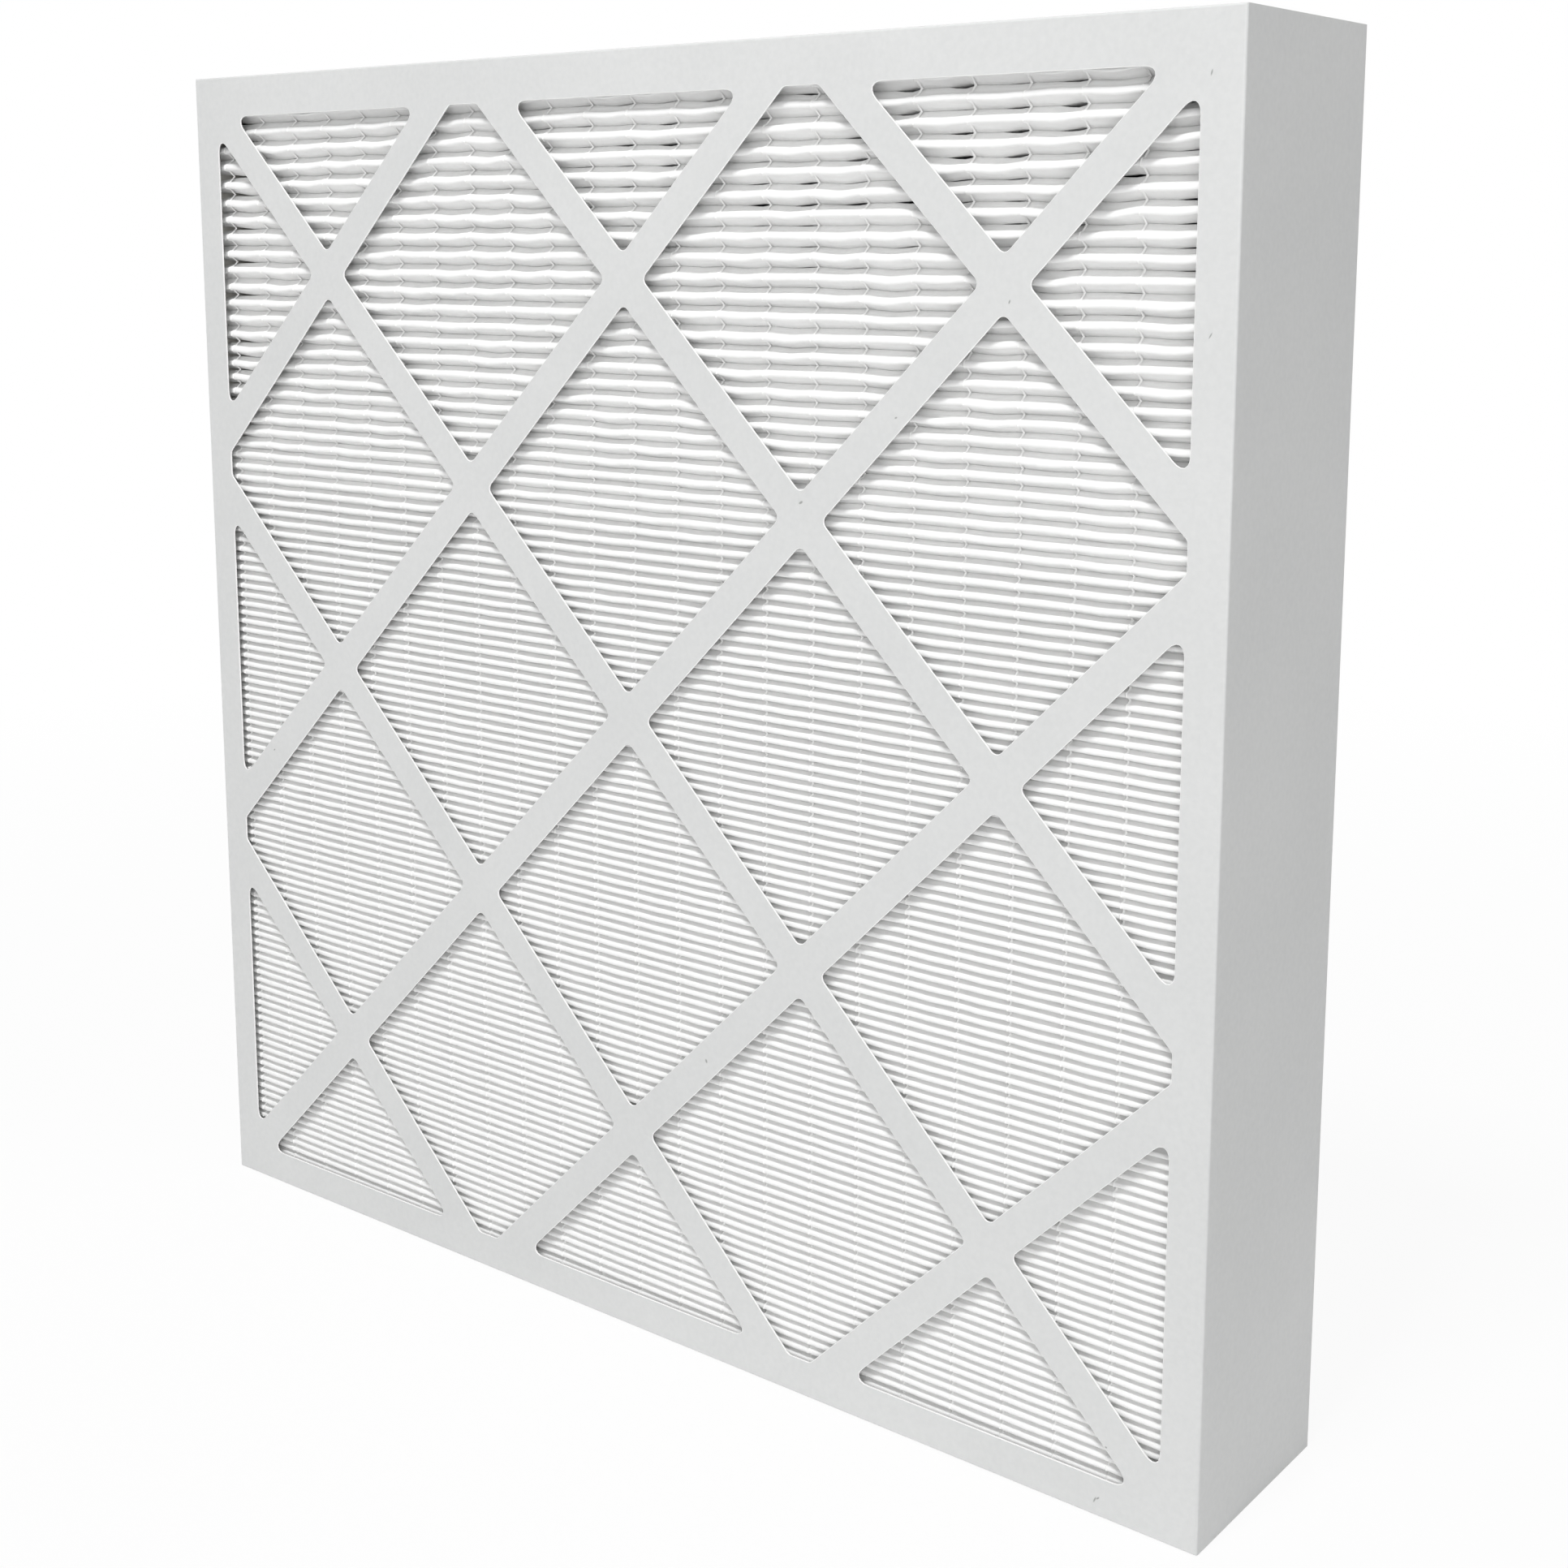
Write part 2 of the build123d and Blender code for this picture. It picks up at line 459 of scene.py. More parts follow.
def addTab(side, end, width, height, first, last):
    # a tapered tab folded from the top or bottom wall, lying against a side wall
    shape = trayShape
    bpy.ops.mesh.primitive_cube_add(size=1)
    tab = bpy.context.object
    tab.scale = (shape["board"], last - first, shape["tabLength"])
    inset = shape["board"] / 2 + shape["tabClearance"]
    rootHeight = middleHeight + end * (height / 2 - shape["tabClearance"])
    tab.location = (
        side * (width / 2 - inset),
        (first + last) / 2,
        rootHeight - end * shape["tabLength"] / 2,
    )
    settleTransform(tab)
    mesh = editOnly(tab)
    tip = rootHeight - end * shape["tabLength"]
    pick(tab, mesh, mesh.verts, lambda v: abs(v.co.z - tip) < hair)
    narrower = 1 - 2 * shape["tabTaper"] / (last - first)
    bpy.ops.transform.resize(value=(1, narrower, 1))
    backToObject()
    return tab


def makeTray(name, width, height, facePlane, endPlane, latticeCutter):
    # a folded tray: walls from the face to the end, the face cut to a lattice
    shape = trayShape
    bpy.ops.mesh.primitive_cube_add(size=1)
    tray = named(name)
    tray.scale = (width, abs(endPlane - facePlane), height)
    tray.location = (0, (facePlane + endPlane) / 2, middleHeight)
    settleTransform(tray)
    mesh = editOnly(tray)
    bpy.ops.mesh.select_mode(type="FACE")
    pick(tray, mesh, mesh.faces, lambda f: abs(f.calc_center_median().y - endPlane) < hair)
    bpy.ops.mesh.delete(type="FACE")
    mesh = bmesh.from_edit_mesh(tray.data)
    bpy.ops.mesh.select_mode(type="EDGE")
    pick(tray, mesh, mesh.edges, lambda e: all(abs(v.co.y - facePlane) < hair for v in e.verts))
    bpy.ops.mesh.bevel(
        offset_type="OFFSET",
        offset=shape["foldRadius"],
        segments=shape["foldSegments"],
        affect="EDGES",
    )
    bpy.ops.mesh.select_mode(type="VERT")
    bpy.ops.mesh.select_all(action="SELECT")
    bpy.ops.mesh.normals_make_consistent(inside=False)
    backToObject()
    wall = tray.modifiers.new("boardThickness", "SOLIDIFY")
    wall.thickness = shape["board"]
    wall.offset = -1
    wall.use_even_offset = True
    applyAll(tray)

    selectOnly(latticeCutter)
    bpy.ops.object.duplicate()
    cutter = bpy.context.object
    cutter.location.y = facePlane - shape["cutDepth"] / 2
    settleTransform(cutter)
    holes = tray.modifiers.new("latticeHoles", "BOOLEAN")
    holes.operation = "DIFFERENCE"
    holes.solver = "EXACT"
    holes.object = cutter
    applyAll(tray)
    bpy.data.objects.remove(cutter)
    softened = tray.modifiers.new("edgeSoftness", "BEVEL")
    softened.width = shape["edgeSoftness"]
    softened.segments = 2
    softened.limit_method = "ANGLE"
    softened.angle_limit = math.radians(shape["softenAbove"])
    applyAll(tray)

    inward = 1 if endPlane > facePlane else -1
    tabStart = facePlane + inward * (shape["board"] + shape["wallEndGap"])
    tabEnd = endPlane - inward * shape["wallEndGap"]
    first, last = sorted((tabStart, tabEnd))
    insideWidth, insideHeight = width - 2 * shape["board"], height - 2 * shape["board"]
    tabs = [
        addTab(side, end, insideWidth, insideHeight, first, last)
        for side in (-1, 1)
        for end in (-1, 1)
    ]
    selectOnly(tray, *tabs)
    bpy.ops.object.join()
    selectOnly(tray)
    bpy.ops.object.shade_smooth_by_angle(angle=math.radians(shape["smoothBelow"]))
    flat = tray.modifiers.new("flatFaces", "WEIGHTED_NORMAL")
    flat.keep_sharp = True
    flat.weight = 80
    applyAll(tray)
    return tray


def whitenCutFaces(tray, facePlane, endPlane):
    # cut faces round the openings and at the ends of the walls show the raw board
    tray.data.materials.append(cutEdge)
    windowX = filterSize["width"] / 2 - trayShape["sideBorder"] + trayShape["windowMargin"]
    windowZ = filterSize["height"] / 2 - trayShape["bottomBorder"] + trayShape["windowMargin"]
    for face in tray.data.polygons:
        centre, facing = face.center, abs(face.normal.y)
        nearFace = abs(centre.y - facePlane) < trayShape["board"]
        inWindow = abs(centre.x) < windowX and abs(centre.z - middleHeight) < windowZ
        isCut = nearFace and inWindow and facing < trayShape["asideFacing"]
        isEnd = abs(centre.y - endPlane) < 2 * hair and facing > trayShape["endFacing"]
        if isCut or isEnd:
            face.material_index = 1


def finishTray(tray, board, facePlane, endPlane, node):
    tray.data.materials.clear()
    tray.data.materials.append(board)
    whitenCutFaces(tray, facePlane, endPlane)
    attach(tray, root)
    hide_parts(node)


latticeCutter = addLatticeCutter()
outerSize = filterSize["width"], filterSize["height"], frontPlane, rearPlane
innerSize = rearTray["width"], rearTray["height"], rearTray["face"], rearTray["wallEnd"]
frontTrayPiece = makeTray("front_tray", *outerSize, latticeCutter)
rearTrayPiece = makeTray("rear_tray", *innerSize, latticeCutter)
bpy.data.objects.remove(latticeCutter)
finishTray(frontTrayPiece, frontBoard, frontPlane, rearPlane, "front_frame")
finishTray(rearTrayPiece, plainBoard, rearTray["face"], rearTray["wallEnd"], "rear_frame")
print("trays made:", len(frontTrayPiece.data.polygons), len(rearTrayPiece.data.polygons), "faces")


# the folded sheet

pack = {
    "sheet": 0.5 * mm,
    "pitchPacked": 4.3 * mm,
    "pitchSpread": 9.0 * mm,
    "spreadHeight": 412 * mm,
    "spreadRun": 41.5 * mm,
    "loosePitch": 4.5 * mm,
    "loosePitchRun": 4.4 * mm,
    "looseHeight": 385 * mm,
    "tipRadius": 0.85 * mm,
    "tipGrowth": 0.12,
    "legRadius": 1.05 * mm,
    "legGrowth": 0.14,
    "seal": 3.0 * mm,
    "beadSpacing": 25.4 * mm,
    "beadLines": 11,
    "tipSetback": 3.0 * mm,
    # how the sheet hangs between the lines of hot melt
    "neckPacked": 1.95 * mm,
    "neckSpread": 3.1 * mm,
    "neckWidth": 1.02,
    "kneePacked": 3.5 * mm,
    "kneeSpread": 7.4 * mm,
    # fold tips are boxy and lean, the lower edge foremost; each bay starts thick and thins out
    "tipSquareness": 3.0,
    "leanPacked": 0.18,
    "leanSpread": 0.38,
    "hook": 0.3,
    "hookLuck": 0.5,
    "hookMargin": 0.02,
    "puff": 0.12,
    "puffLevel": 0.6,
    "apexSwell": 0.25 * mm,
    "flareSwell": 0.25 * mm,
    # the valleys all but close, and gape just left of the lines of hot melt in the top rows
    "gap": 0.04 * mm,
    "slotWidth": 3.0 * mm,
    "slotReach": 13.0 * mm,
    "slotRise": 4.5 * mm,
    "slotTaper": 0.7,
    "slotFade": 13,
    "slotMean": 0.7,
    "slotLuck": 0.28,
    "slotFrom": -120 * mm,
    "slotRun": 200 * mm,
    "slotLeast": 0.12,
    # and at the left border
    "endGap": 1.9 * mm,
    "endFrom": -264 * mm,
    "endRun": 16 * mm,
    "endMean": 0.6,
    "endLuck": 0.4,
    # the rear folds
    "rearGap": 0.8 * mm,
    "rearSwell": 0.3 * mm,
    "rearPull": 0.15 * mm,
    "rearWaver": 0.3,
    "rearKneeWaver": 0.6,
    # unevenness from fold to fold: waves to the metre, step from fold to fold, start
    "waverPacked": 0.10 * mm,
    "waverSpread": 0.5 * mm,
    "waverShare": 1.6,
    "waverNoise": (24, 0.83, 3.1),
    "sagPacked": 0.10 * mm,
    "sagSpread": 0.35 * mm,
    "ripple": 0.05,
    "rippleNoise": (55, 1.9, 8.2),
    "luckStep": 1.37,
    "luckStart": 0.5,
    # turns of the tips in degrees at which the sheet has points, coarse and fine
    "tipTurns": {False: (86, 60, 28), True: (86, 58, 28)},
    "rearTurn": 78,
    "rearTurns": {False: (78, 30), True: (78, 45, 15)},
    # points across each bay in mm, coarse and fine
    "columns": {False: (0.9, 12.7, 24.5), True: (0, 1.0, 6.5, 12.4, 16.5, 20.5, 24.4)},
    "sideColumn": 2 * mm,
    # places across, in metres, at which the path is laid out; no length is taken from it
    "measureAt": (-0.2032, 0.0127, 0.2032 + 0.0085),
    "smoothBelow": 60,
}
deals = {"sag": 0, "end": 2, "slot": 5, "hook": 9}  # each unevenness draws its own luck

innerBottom = middleHeight - rearTray["height"] / 2 + trayShape["board"]
innerTop = middleHeight + rearTray["height"] / 2 - trayShape["board"]
packHalfWidth = rearTray["width"] / 2 - trayShape["board"] - pack["seal"]
frontTips = frontPlane + pack["tipSetback"]
rearTips = rearPlane - trayShape["rearRecess"] - pack["tipSetback"]


def pitchAt(height):
    spread = 1 / (1 + math.exp((pack["spreadHeight"] - height) / pack["spreadRun"]))
    return pack["pitchPacked"] + (pack["pitchSpread"] - pack["pitchPacked"]) * spread


def pleatBounds():
    low, high = innerBottom + pack["seal"], innerTop - pack["seal"]
    heights = [low]
    while heights[-1] + pitchAt(heights[-1]) < high:
        heights.append(heights[-1] + pitchAt(heights[-1]))
    stretch = (high - low) / (heights[-1] - low)
    return [low + (h - low) * stretch for h in heights]


bounds = pleatBounds()
pleats = []
for low, high in zip(bounds, bounds[1:]):
    pitch = high - low
    loose = min(max((pitch - pack["loosePitch"]) / pack["loosePitchRun"], 0), 1)
    pleats.append({"middle": (low + high) / 2, "pitch": pitch, "loose": loose})


def mixed(a, b, t):
    return a + (b - a) * t


def bayOf(x):
    # number of the bay between two lines of hot melt
    return math.floor(x / pack["beadSpacing"])


def bulge(x):
    # 0 at a line of hot melt, 1 half way to the next
    bays = x / pack["beadSpacing"]
    return math.sin(abs(bays - round(bays)) * math.pi) ** 2


def luck(index, bay, deal):
    # a steady random number from -1 to 1 for a place in the pack
    place = [part * pack["luckStep"] + pack["luckStart"] for part in (index, bay, deal)]
    return noise.cell(Vector(place)) * 2 - 1


def drift(index, x, waves, step, start):
    # a smooth random number for a place along a fold
    return noise.noise(Vector((x * waves, index * step, start)))


def waver(index, x):
    loose = pleats[index]["loose"]
    wave = drift(index, x, *pack["waverNoise"])
    size = mixed(pack["waverPacked"], pack["waverSpread"], loose)
    sag = mixed(pack["sagPacked"], pack["sagSpread"], loose)
    sag *= bulge(x) * luck(index, bayOf(x), deals["sag"])
    return wave * size * pack["waverShare"] + sag


def hookAt(index, x, side):
    # loose folds start low just right of a line of hot melt, packed ones start high
    bay = bayOf(x)
    phase = x / pack["beadSpacing"] - bay
    if phase < pack["hookMargin"] or phase > 1 - pack["hookMargin"]:
        return 1
    share = pleats[index]["loose"] if side < 0 else 1 - pleats[index]["loose"]
    tilt = pack["hook"] * share * (0.5 - phase)
    return 1 + tilt * (1 + pack["hookLuck"] * luck(index, bay, deals["hook"]))


def tipRadius(index, x):
    base = pack["tipRadius"] + pack["tipGrowth"] * (pleats[index]["pitch"] - pack["pitchPacked"])
    ripple = pack["ripple"] * drift(index, x, *pack["rippleNoise"])
    return base * (1 + pack["puff"] * (bulge(x) - pack["puffLevel"]) + ripple)


def valleyHeight(index, x):
    # middle of the valley above a pleat
    return bounds[index + 1] + 0.5 * (waver(index, x) + waver(index + 1, x))


def valleyGap(index, x):
    # clear width left between two pleats where they come closest, behind the front tips
    loose = min(pleats[index]["loose"], pleats[index + 1]["loose"])
    gap = pack["gap"]
    line = math.ceil(x / pack["beadSpacing"] - 1e-6)
    left = line * pack["beadSpacing"] - x
    if left < pack["slotReach"]:
        toRight = min(max((x - pack["slotFrom"]) / pack["slotRun"], pack["slotLeast"]), 1)
        chance = pack["slotMean"] + pack["slotLuck"] * luck(index, line, deals["slot"])
        strength = chance * toRight * loose ** pack["slotFade"]
        rise = min(left / pack["slotRise"], 1)
        taper = (1 - left / pack["slotReach"]) ** pack["slotTaper"]
        gap += pack["slotWidth"] * strength * rise * taper
    end = (pack["endFrom"] - x) / pack["endRun"]
    if end > 0:
        chance = pack["endMean"] + pack["endLuck"] * luck(index, 1, deals["end"])
        gap += pack["endGap"] * loose * end * chance
    return gap


def kneeDepth(index):
    return mixed(pack["kneePacked"], pack["kneeSpread"], pleats[index]["loose"])


def neckDepth(index):
    return mixed(pack["neckPacked"], pack["neckSpread"], pleats[index]["loose"])


def sheetPoint(spot, x):
    # depth and height of the middle of the sheet at one spot of the folded path
    kind, index, side, amount = spot
    pleat = pleats[index]
    loose = pleat["loose"]
    outside = index if side > 0 else index - 1
    leg = outside < 0 or outside + 1 >= len(pleats)
    radius = tipRadius(index, x)
    half = pack["sheet"] / 2
    tipHeight = pleat["middle"] + (0 if index in (0, len(pleats) - 1) else waver(index, x))
    apex = frontTips + half - pack["apexSwell"] * loose * bulge(x)
    knee = frontTips + kneeDepth(index)
    rearKnee = rearTips - kneeDepth(index)
    legWidth = pack["legRadius"] + pack["legGrowth"] * (pleat["pitch"] - pack["pitchPacked"])
    legHeight = pleat["middle"] + side * legWidth
    if kind == "tip":
        turn = math.radians(amount)
        power = 2 / pack["tipSquareness"]
        across = side * math.sin(turn) ** power * hookAt(index, x, side)
        lean = mixed(pack["leanPacked"], pack["leanSpread"], loose) * (across + 1)
        return apex + radius * (1 - math.cos(turn) ** power + lean), tipHeight + radius * across
    if kind in ("neck", "flare", "knee"):
        neck = frontTips + neckDepth(index), tipHeight + side * radius * pack["neckWidth"]
        if kind == "neck":
            return neck
        if leg:
            return mixed(neck[0], knee, amount), mixed(neck[1], legHeight, amount)
        endHeight = valleyHeight(outside, x) - side * (half + valleyGap(outside, x) / 2)
        swell = math.sin(math.pi * amount) * pack["flareSwell"] * loose
        return mixed(neck[0], knee, amount), mixed(neck[1], endHeight, amount) - side * swell
    if kind == "middle":
        a = sheetPoint(("knee", index, side, 1), x)
        b = sheetPoint(("rearKnee", index, side, 1), x)
        return (a[0] + b[0]) / 2, (a[1] + b[1]) / 2
    if leg:
        # the first and last legs lie flat on the adhesive as far as the rear tips
        atTip = 0.5 + (pack["rearTurn"] - amount) / (2 * pack["rearTurn"])
        along = {"rearKnee": 0.0, "rearFlare": 0.4}.get(kind, atTip)
        return mixed(rearKnee, rearTips, along), legHeight
    wavers = waver(outside, x) + waver(outside + 1, x)
    rearHeight = bounds[outside + 1] + pack["rearWaver"] * wavers
    rearRadius = (tipRadius(outside, x) + tipRadius(outside + 1, x)) / 2
    rearApex = rearTips - half + pack["rearPull"] * loose * (bulge(x) - 1)
    if kind == "rear":
        turn = math.radians(amount)
        depth = rearApex - rearRadius * (1 - math.cos(turn))
        return depth, rearHeight - side * rearRadius * math.sin(turn)
    rearGap = mixed(pack["gap"], pack["rearGap"], loose)
    kneeWaver = pack["rearKneeWaver"] * waver(index, x)
    kneeHeight = pleat["middle"] + kneeWaver + side * (half + rearGap / 2)
    if kind == "rearKnee":
        return rearKnee, kneeHeight
    # flare between the rear knee and the rear fold
    stop = sheetPoint(("rear", index, side, pack["rearTurn"]), x)
    swell = math.sin(math.pi * amount) * pack["rearSwell"] * loose
    return mixed(rearKnee, stop[0], amount), mixed(kneeHeight, stop[1], amount) - side * swell


def foldSpots(index, fine):
    # spots along one pleat, from the middle of its lower flank to the middle of its upper flank
    bends = [("knee", 1), ("flare", 0.5), ("neck", 0)] if fine else [("knee", 1), ("neck", 0)]
    lower = [(kind, index, -1, amount) for kind, amount in bends]
    lower += [("tip", index, -1, turn) for turn in pack["tipTurns"][fine]]
    upper = [(kind, index, 1, amount) for kind, index, side, amount in reversed(lower)]
    return lower + ([("tip", index, 1, 0)] if fine else []) + upper


def rearSpots(index, fine):
    # spots of the rear fold above a pleat, from this pleat's upper flank to the next one's lower
    below = [("rearKnee", 1)] + ([("rearFlare", 0.5)] if fine else [])
    below += [("rear", turn) for turn in pack["rearTurns"][fine]]
    spots = [(kind, index, 1, amount) for kind, amount in below]
    return spots + [(kind, index + 1, -1, amount) for kind, amount in reversed(below)]


def zoneSpots(first, last, fine):
    spots = []
    turns = (0, pack["rearTurn"])
    if first == 0:
        spots += [("rear", 0, -1, turn) for turn in turns] + [("rearKnee", 0, -1, 1)]
    else:
        spots.append(("middle", first, -1, 0))
    for index in range(first, last + 1):
        spots += foldSpots(index, fine)
        if index < last:
            spots += rearSpots(index, fine)
    if last == len(pleats) - 1:
        spots += [("rearKnee", last, 1, 1)] + [("rear", last, 1, turn) for turn in reversed(turns)]
    else:
        spots += rearSpots(last, fine) + [("middle", last + 1, -1, 0)]
    return spots


def columnPlaces(offsets):
    # places across the pack, the same in every bay between two lines of hot melt
    places = [-packHalfWidth, packHalfWidth]
    for line in range(-pack["beadLines"] - 1, pack["beadLines"] + 1):
        places += [line * pack["beadSpacing"] + offset * mm for offset in offsets]
    inside = [x for x in places if abs(x) < packHalfWidth - pack["sideColumn"]]
    return sorted(inside + places[:2])


def layGrid(name, across, along, pointAt):
    # a flat grid is added and each of its points carried to its place on the folded path
    columns, rows = len(across) - 1, len(along) - 1
    bpy.ops.mesh.primitive_grid_add(x_subdivisions=columns, y_subdivisions=rows, size=2)
    piece = named(name)
    for vertex in piece.data.vertices:
        column = round((vertex.co.x + 1) / 2 * columns)
        row = round((vertex.co.y + 1) / 2 * rows)
        vertex.co = pointAt(across[column], along[row])
    piece.data.update()
    return piece


def makeSheetZone(name, first, last, fine):
    spots = zoneSpots(first, last, fine)
    places = columnPlaces(pack["columns"][fine])
    piece = layGrid(name, places, spots, lambda x, spot: (x, *sheetPoint(spot, x)))
    # the path is laid out at three cuts across; its developed length, the length of the flat
    # sheet, is not worked out here
    for x in pack["measureAt"]:
        path = [Vector(sheetPoint(spot, x)) for spot in spots]
    thick = piece.modifiers.new("sheetThickness", "SOLIDIFY")
    thick.thickness = pack["sheet"]
    thick.offset = 0
    thick.use_even_offset = True
    applyAll(piece)
    editOnly(piece)
    bpy.ops.mesh.select_all(action="SELECT")
    bpy.ops.mesh.normals_make_consistent(inside=False)
    backToObject()
    bpy.ops.object.shade_smooth_by_angle(angle=math.radians(pack["smoothBelow"]))
    piece.data.materials.clear()
    piece.data.materials.append(filterPaper)
    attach(piece, root)
    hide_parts("pleated_media")


# five pieces one above the other, three coarse and two fine, so that each mesh stays small
looseFrom = next(i for i, pleat in enumerate(pleats) if pleat["middle"] > pack["looseHeight"])
halfLoose = (looseFrom + len(pleats)) // 2
starts = [0, looseFrom // 3, 2 * looseFrom // 3, looseFrom, halfLoose, len(pleats)]
for number, (first, following) in enumerate(zip(starts, starts[1:]), 1):
    makeSheetZone(f"folded_sheet_{number}", first, following - 1, first >= looseFrom)
print("sheet made:", len(pleats), "pleats, the loose ones from number", looseFrom)


# lines of hot melt over the folds

meltShape = {
    "base": 1.3 * mm,
    "height": 0.42 * mm,
    "sink": 0.1 * mm,
    "rearSet": 0.9 * mm,
    "webAt": 0.8,
    "frontTurns": (80, 40),
    "rearTurns": (78, 40),
    "smoothBelow": 50,
}


def beadSpots(front):
    # the folds' spots that a line runs over, with a web across each gap between them
    spots = []
    rearTurns = meltShape["rearTurns"]
    for index in range(len(pleats)):
        if front:
            lower = [("neck", 0)] + [("tip", turn) for turn in meltShape["frontTurns"]]
            spots += [(kind, index, -1, amount) for kind, amount in lower]
            spots += [(kind, index, 1, amount) for kind, amount in reversed(lower)]
            if index < len(pleats) - 1:
                spots.append(("web", index, 1, 0))
        elif index < len(pleats) - 1:
            spots += [("rear", index, 1, turn) for turn in rearTurns]
            spots += [("rear", index + 1, -1, turn) for turn in (0, *reversed(rearTurns))]
            if index < len(pleats) - 2:
                spots.append(("rearWeb", index + 1, 1, 0))
    return spots


def meltPath(spots, x):
    # the line's path along the middle of the sheet; a web lies half way between two folds
    path = []
    for spot in spots:
        kind, index, side, amount = spot
        if kind == "web":
            at = meltShape["webAt"]
            ends = ("flare", index, 1, at), ("flare", index + 1, -1, at)
            forward = 0
        elif kind == "rearWeb":
            ends = ("rear", index, -1, pack["rearTurn"]), ("rear", index, 1, pack["rearTurn"])
            forward = meltShape["rearSet"]
        else:
            path.append(Vector(sheetPoint(spot, x)))
            continue
        below, above = sheetPoint(ends[0], x), sheetPoint(ends[1], x)
        path.append(Vector(((below[0] + above[0]) / 2 - forward, (below[1] + above[1]) / 2)))
    return path


def outwardNormals(path, front):
    normals = []
    for k in range(len(path)):
        along = path[min(k + 1, len(path) - 1)] - path[max(k - 1, 0)]
        normal = Vector((-along.y, along.x)).normalized()
        normals.append(normal if front else -normal)
    return normals


def makeBead(name, node, x, front):
    # a thin ribbon with a raised crest, laid along the sheet's surface
    shape = meltShape
    middle = meltPath(beadSpots(front), x)
    normals = outwardNormals(middle, front)
    seat = pack["sheet"] / 2 - shape["sink"]
    crest = pack["sheet"] / 2 + shape["height"]
    ring = [(-0.5, seat), (0, crest), (0.5, seat), (-0.5, seat)]

    def carried(corner, k):
        aside, out = ring[corner]
        point = middle[k] + normals[k] * out
        return x + aside * shape["base"], point.x, point.y

    piece = layGrid(name, range(len(ring)), range(len(middle)), carried)
    editOnly(piece)
    bpy.ops.mesh.select_all(action="SELECT")
    bpy.ops.mesh.remove_doubles(threshold=0.001 * mm)
    bpy.ops.mesh.fill_holes(sides=4)
    bpy.ops.mesh.normals_make_consistent(inside=False)
    backToObject()
    bpy.ops.object.shade_smooth_by_angle(angle=math.radians(shape["smoothBelow"]))
    piece.data.materials.clear()
    piece.data.materials.append(hotMelt)
    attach(piece, root)
    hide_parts(node)


lines = pack["beadLines"]
for number in range(1, 2 * lines + 2):
    x = (number - 1 - lines) * pack["beadSpacing"]
    makeBead(f"front_melt_{number:02d}", f"front_bead_{number:02d}", x, True)
    makeBead(f"rear_melt_{number:02d}", f"rear_bead_{number:02d}", x, False)
print("lines of hot melt made")


# adhesive beds keep their own shapes

for word in ("left", "right", "top", "bottom"):
    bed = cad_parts[f"{word}_edge_seal"]
    bed.data.materials.clear()
    bed.data.materials.append(adhesive)
print("adhesive beds dressed")


# floor, light and camera

stageLook = {
    "floorSize": 14,
    "floor": (0.86, 0.86, 0.86),
    "floorShare": 0.92,
    "fadeFrom": 0.5,
    "fadeTo": 1.6,
    "world": 0.365,
    "drop": 0.2 * mm,
}


def clearSight(tree):
    # 1 for what the camera sees straight, in a mirror or through a clear piece
    path = tree.nodes.new("ShaderNodeLightPath").outputs
    total = path["Is Camera Ray"]
    for ray in ("Is Glossy Ray", "Is Transmission Ray"):
        total = reckon(tree, "MAXIMUM", total, path[ray])
    return total


def mixShaders(tree, amount, first, second, output):
    mix = tree.nodes.new("ShaderNodeMixShader")
    tree.links.new(amount, mix.inputs[0])
    tree.links.new(first.outputs[0], mix.inputs[1])
    tree.links.new(second.outputs[0], mix.inputs[2])
    tree.links.new(mix.outputs[0], tree.nodes[output].inputs["Surface"])


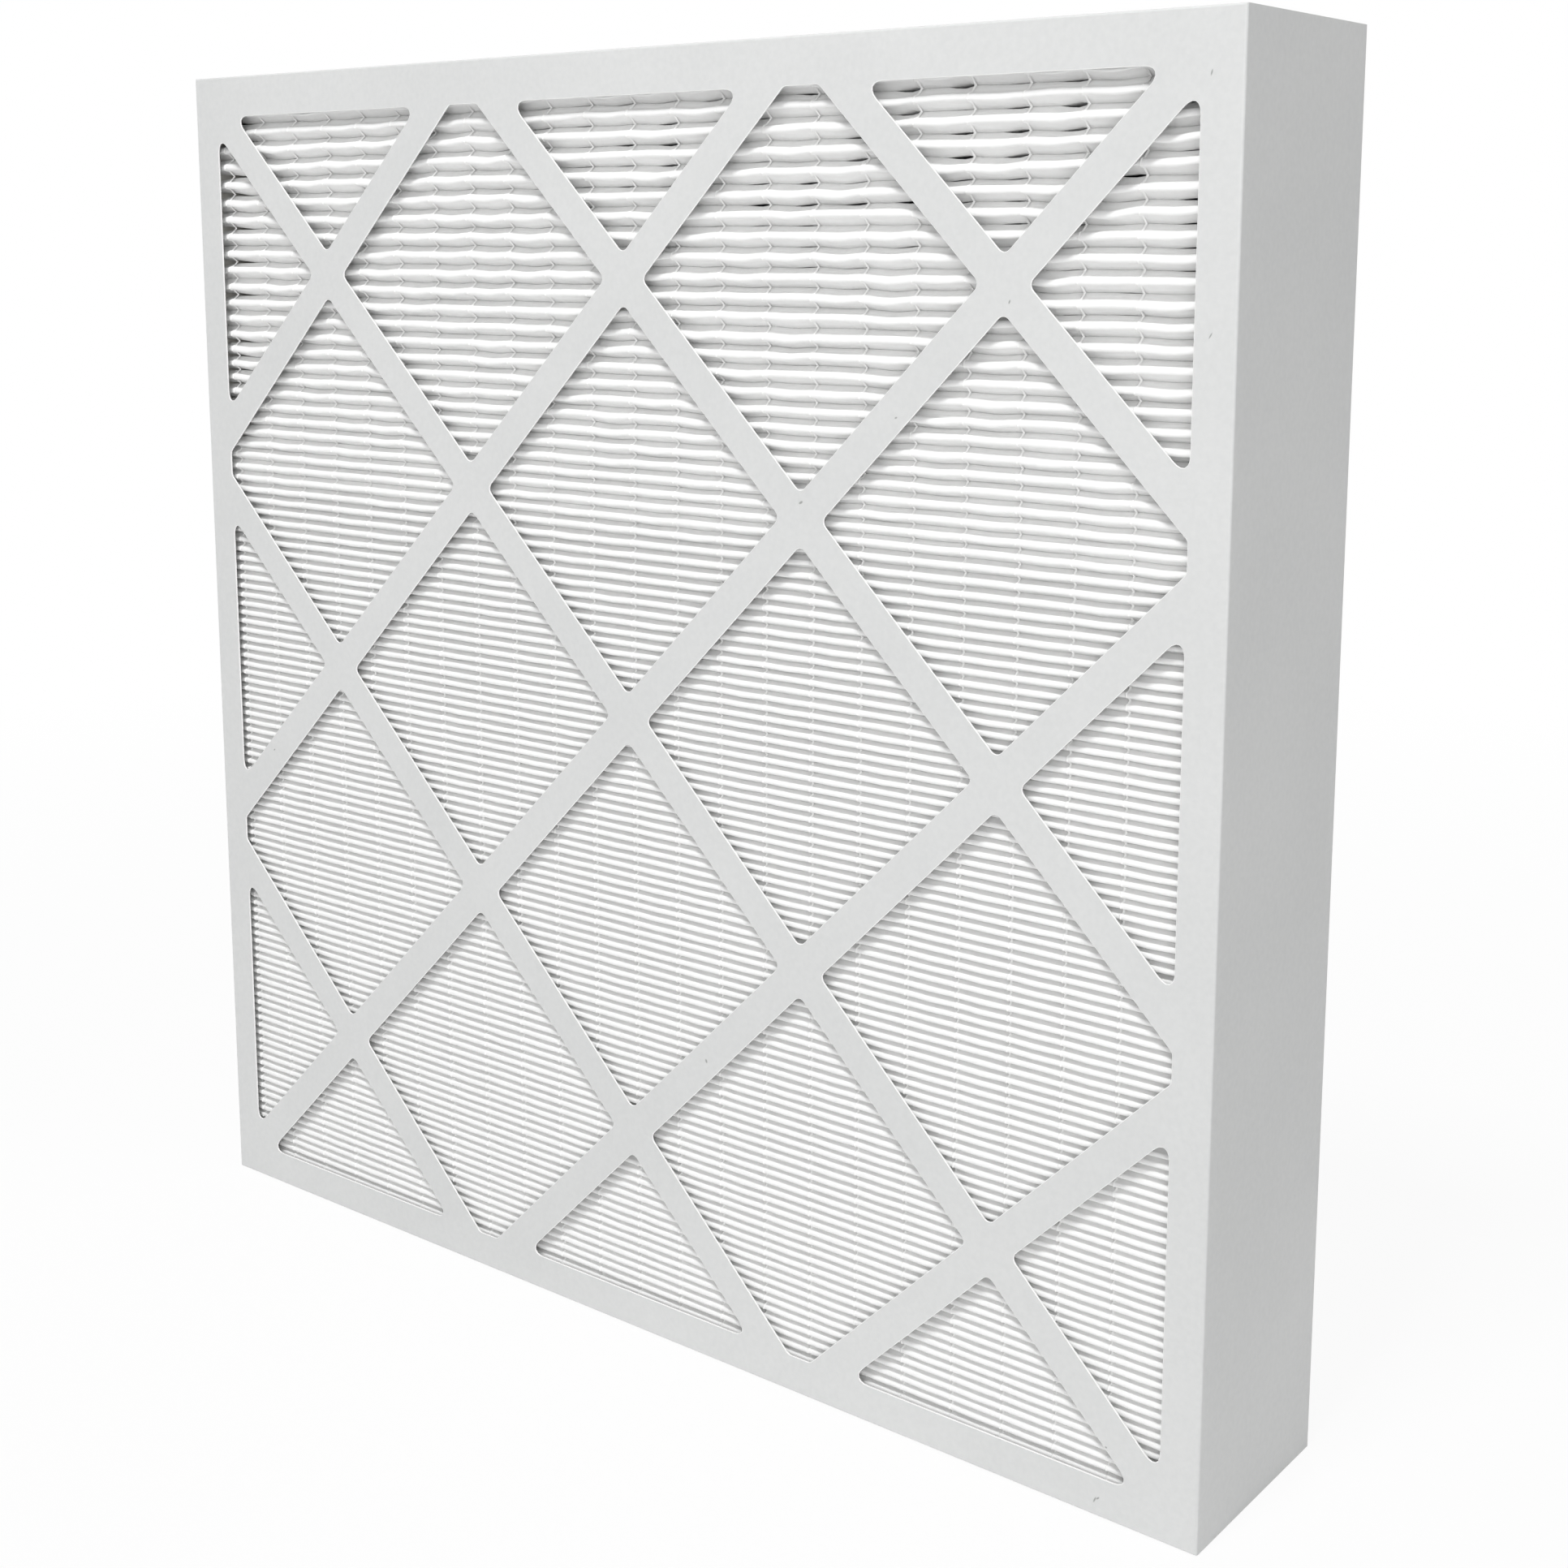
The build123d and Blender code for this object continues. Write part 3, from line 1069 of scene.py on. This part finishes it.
def makeFloor():
    look = stageLook
    bpy.ops.mesh.primitive_plane_add(size=look["floorSize"], location=(0, 0, -look["drop"]))
    floor = named("studioFloor")
    material = bpy.data.materials.new("studioFloor")
    material.use_nodes = True
    tree = material.node_tree
    tree.nodes.remove(tree.nodes["Principled BSDF"])
    diffuse = tree.nodes.new("ShaderNodeBsdfDiffuse")
    diffuse.inputs["Color"].default_value = (*look["floor"], 1)
    glow = tree.nodes.new("ShaderNodeEmission")
    glow.inputs["Color"].default_value = (1, 1, 1, 1)
    glow.inputs["Strength"].default_value = 1.0
    place = tree.nodes.new("ShaderNodeTexCoord").outputs["Object"]
    # the floor keeps its shadows near the filter and fades to white away from it
    share = tree.nodes.new("ShaderNodeMapRange")
    share.inputs["From Min"].default_value = look["fadeFrom"]
    share.inputs["From Max"].default_value = look["fadeTo"]
    share.inputs["To Min"].default_value = look["floorShare"]
    share.inputs["To Max"].default_value = 1.0
    tree.links.new(distanceFromMiddle(tree, place), share.inputs["Value"])
    seen = reckon(tree, "MULTIPLY", clearSight(tree), share.outputs["Result"])
    mixShaders(tree, seen, diffuse, glow, "Material Output")
    floor.data.materials.append(material)


def makeWorld():
    world = bpy.data.worlds.new("studio")
    bpy.context.scene.world = world
    world.use_nodes = True
    tree = world.node_tree
    soft = tree.nodes["Background"]
    seenWhite = tree.nodes.new("ShaderNodeBackground")
    for light, strength in ((soft, stageLook["world"]), (seenWhite, 1.0)):
        light.inputs["Color"].default_value = (1, 1, 1, 1)
        light.inputs["Strength"].default_value = strength
    mixShaders(tree, clearSight(tree), soft, seenWhite, "World Output")


lampSetup = {
    # name: place, size, watts
    "keyLamp": ((0.25, -1.45, 3.15), 0.6, 56),
    "fillLamp": ((1.95, -2.45, 0.8), 2.2, 31),
    "backLamp": ((-1.3, 2.9, 1.3), 2.2, 20),
}


def makeLamps():
    aim = Vector((0, 0, middleHeight))
    for name, (place, size, power) in lampSetup.items():
        turn = (aim - Vector(place)).to_track_quat("-Z", "Y").to_euler()
        bpy.ops.object.light_add(type="AREA", location=place, rotation=turn)
        lamp = bpy.context.object
        lamp.name = name
        lamp.data.size = size
        lamp.data.energy = power


cameraSetup = {
    "place": (0.6532, -0.7657, 0.5111),
    "turn": (80.7235, 0, 38.2093),
    "lens": 49.843,
    "shiftY": -0.12,
    "sensor": 36,
    "clipStart": 10 * mm,
}


def makeCamera():
    turn = [math.radians(angle) for angle in cameraSetup["turn"]]
    bpy.ops.object.camera_add(location=cameraSetup["place"], rotation=turn)
    camera = bpy.context.object
    camera.data.sensor_width = cameraSetup["sensor"]
    camera.data.lens = cameraSetup["lens"]
    camera.data.shift_y = cameraSetup["shiftY"]
    camera.data.clip_start = cameraSetup["clipStart"]
    bpy.context.scene.camera = camera


makeFloor()
makeWorld()
makeLamps()
makeCamera()
bpy.context.scene.view_settings.view_transform = "Standard"
print("stage made")
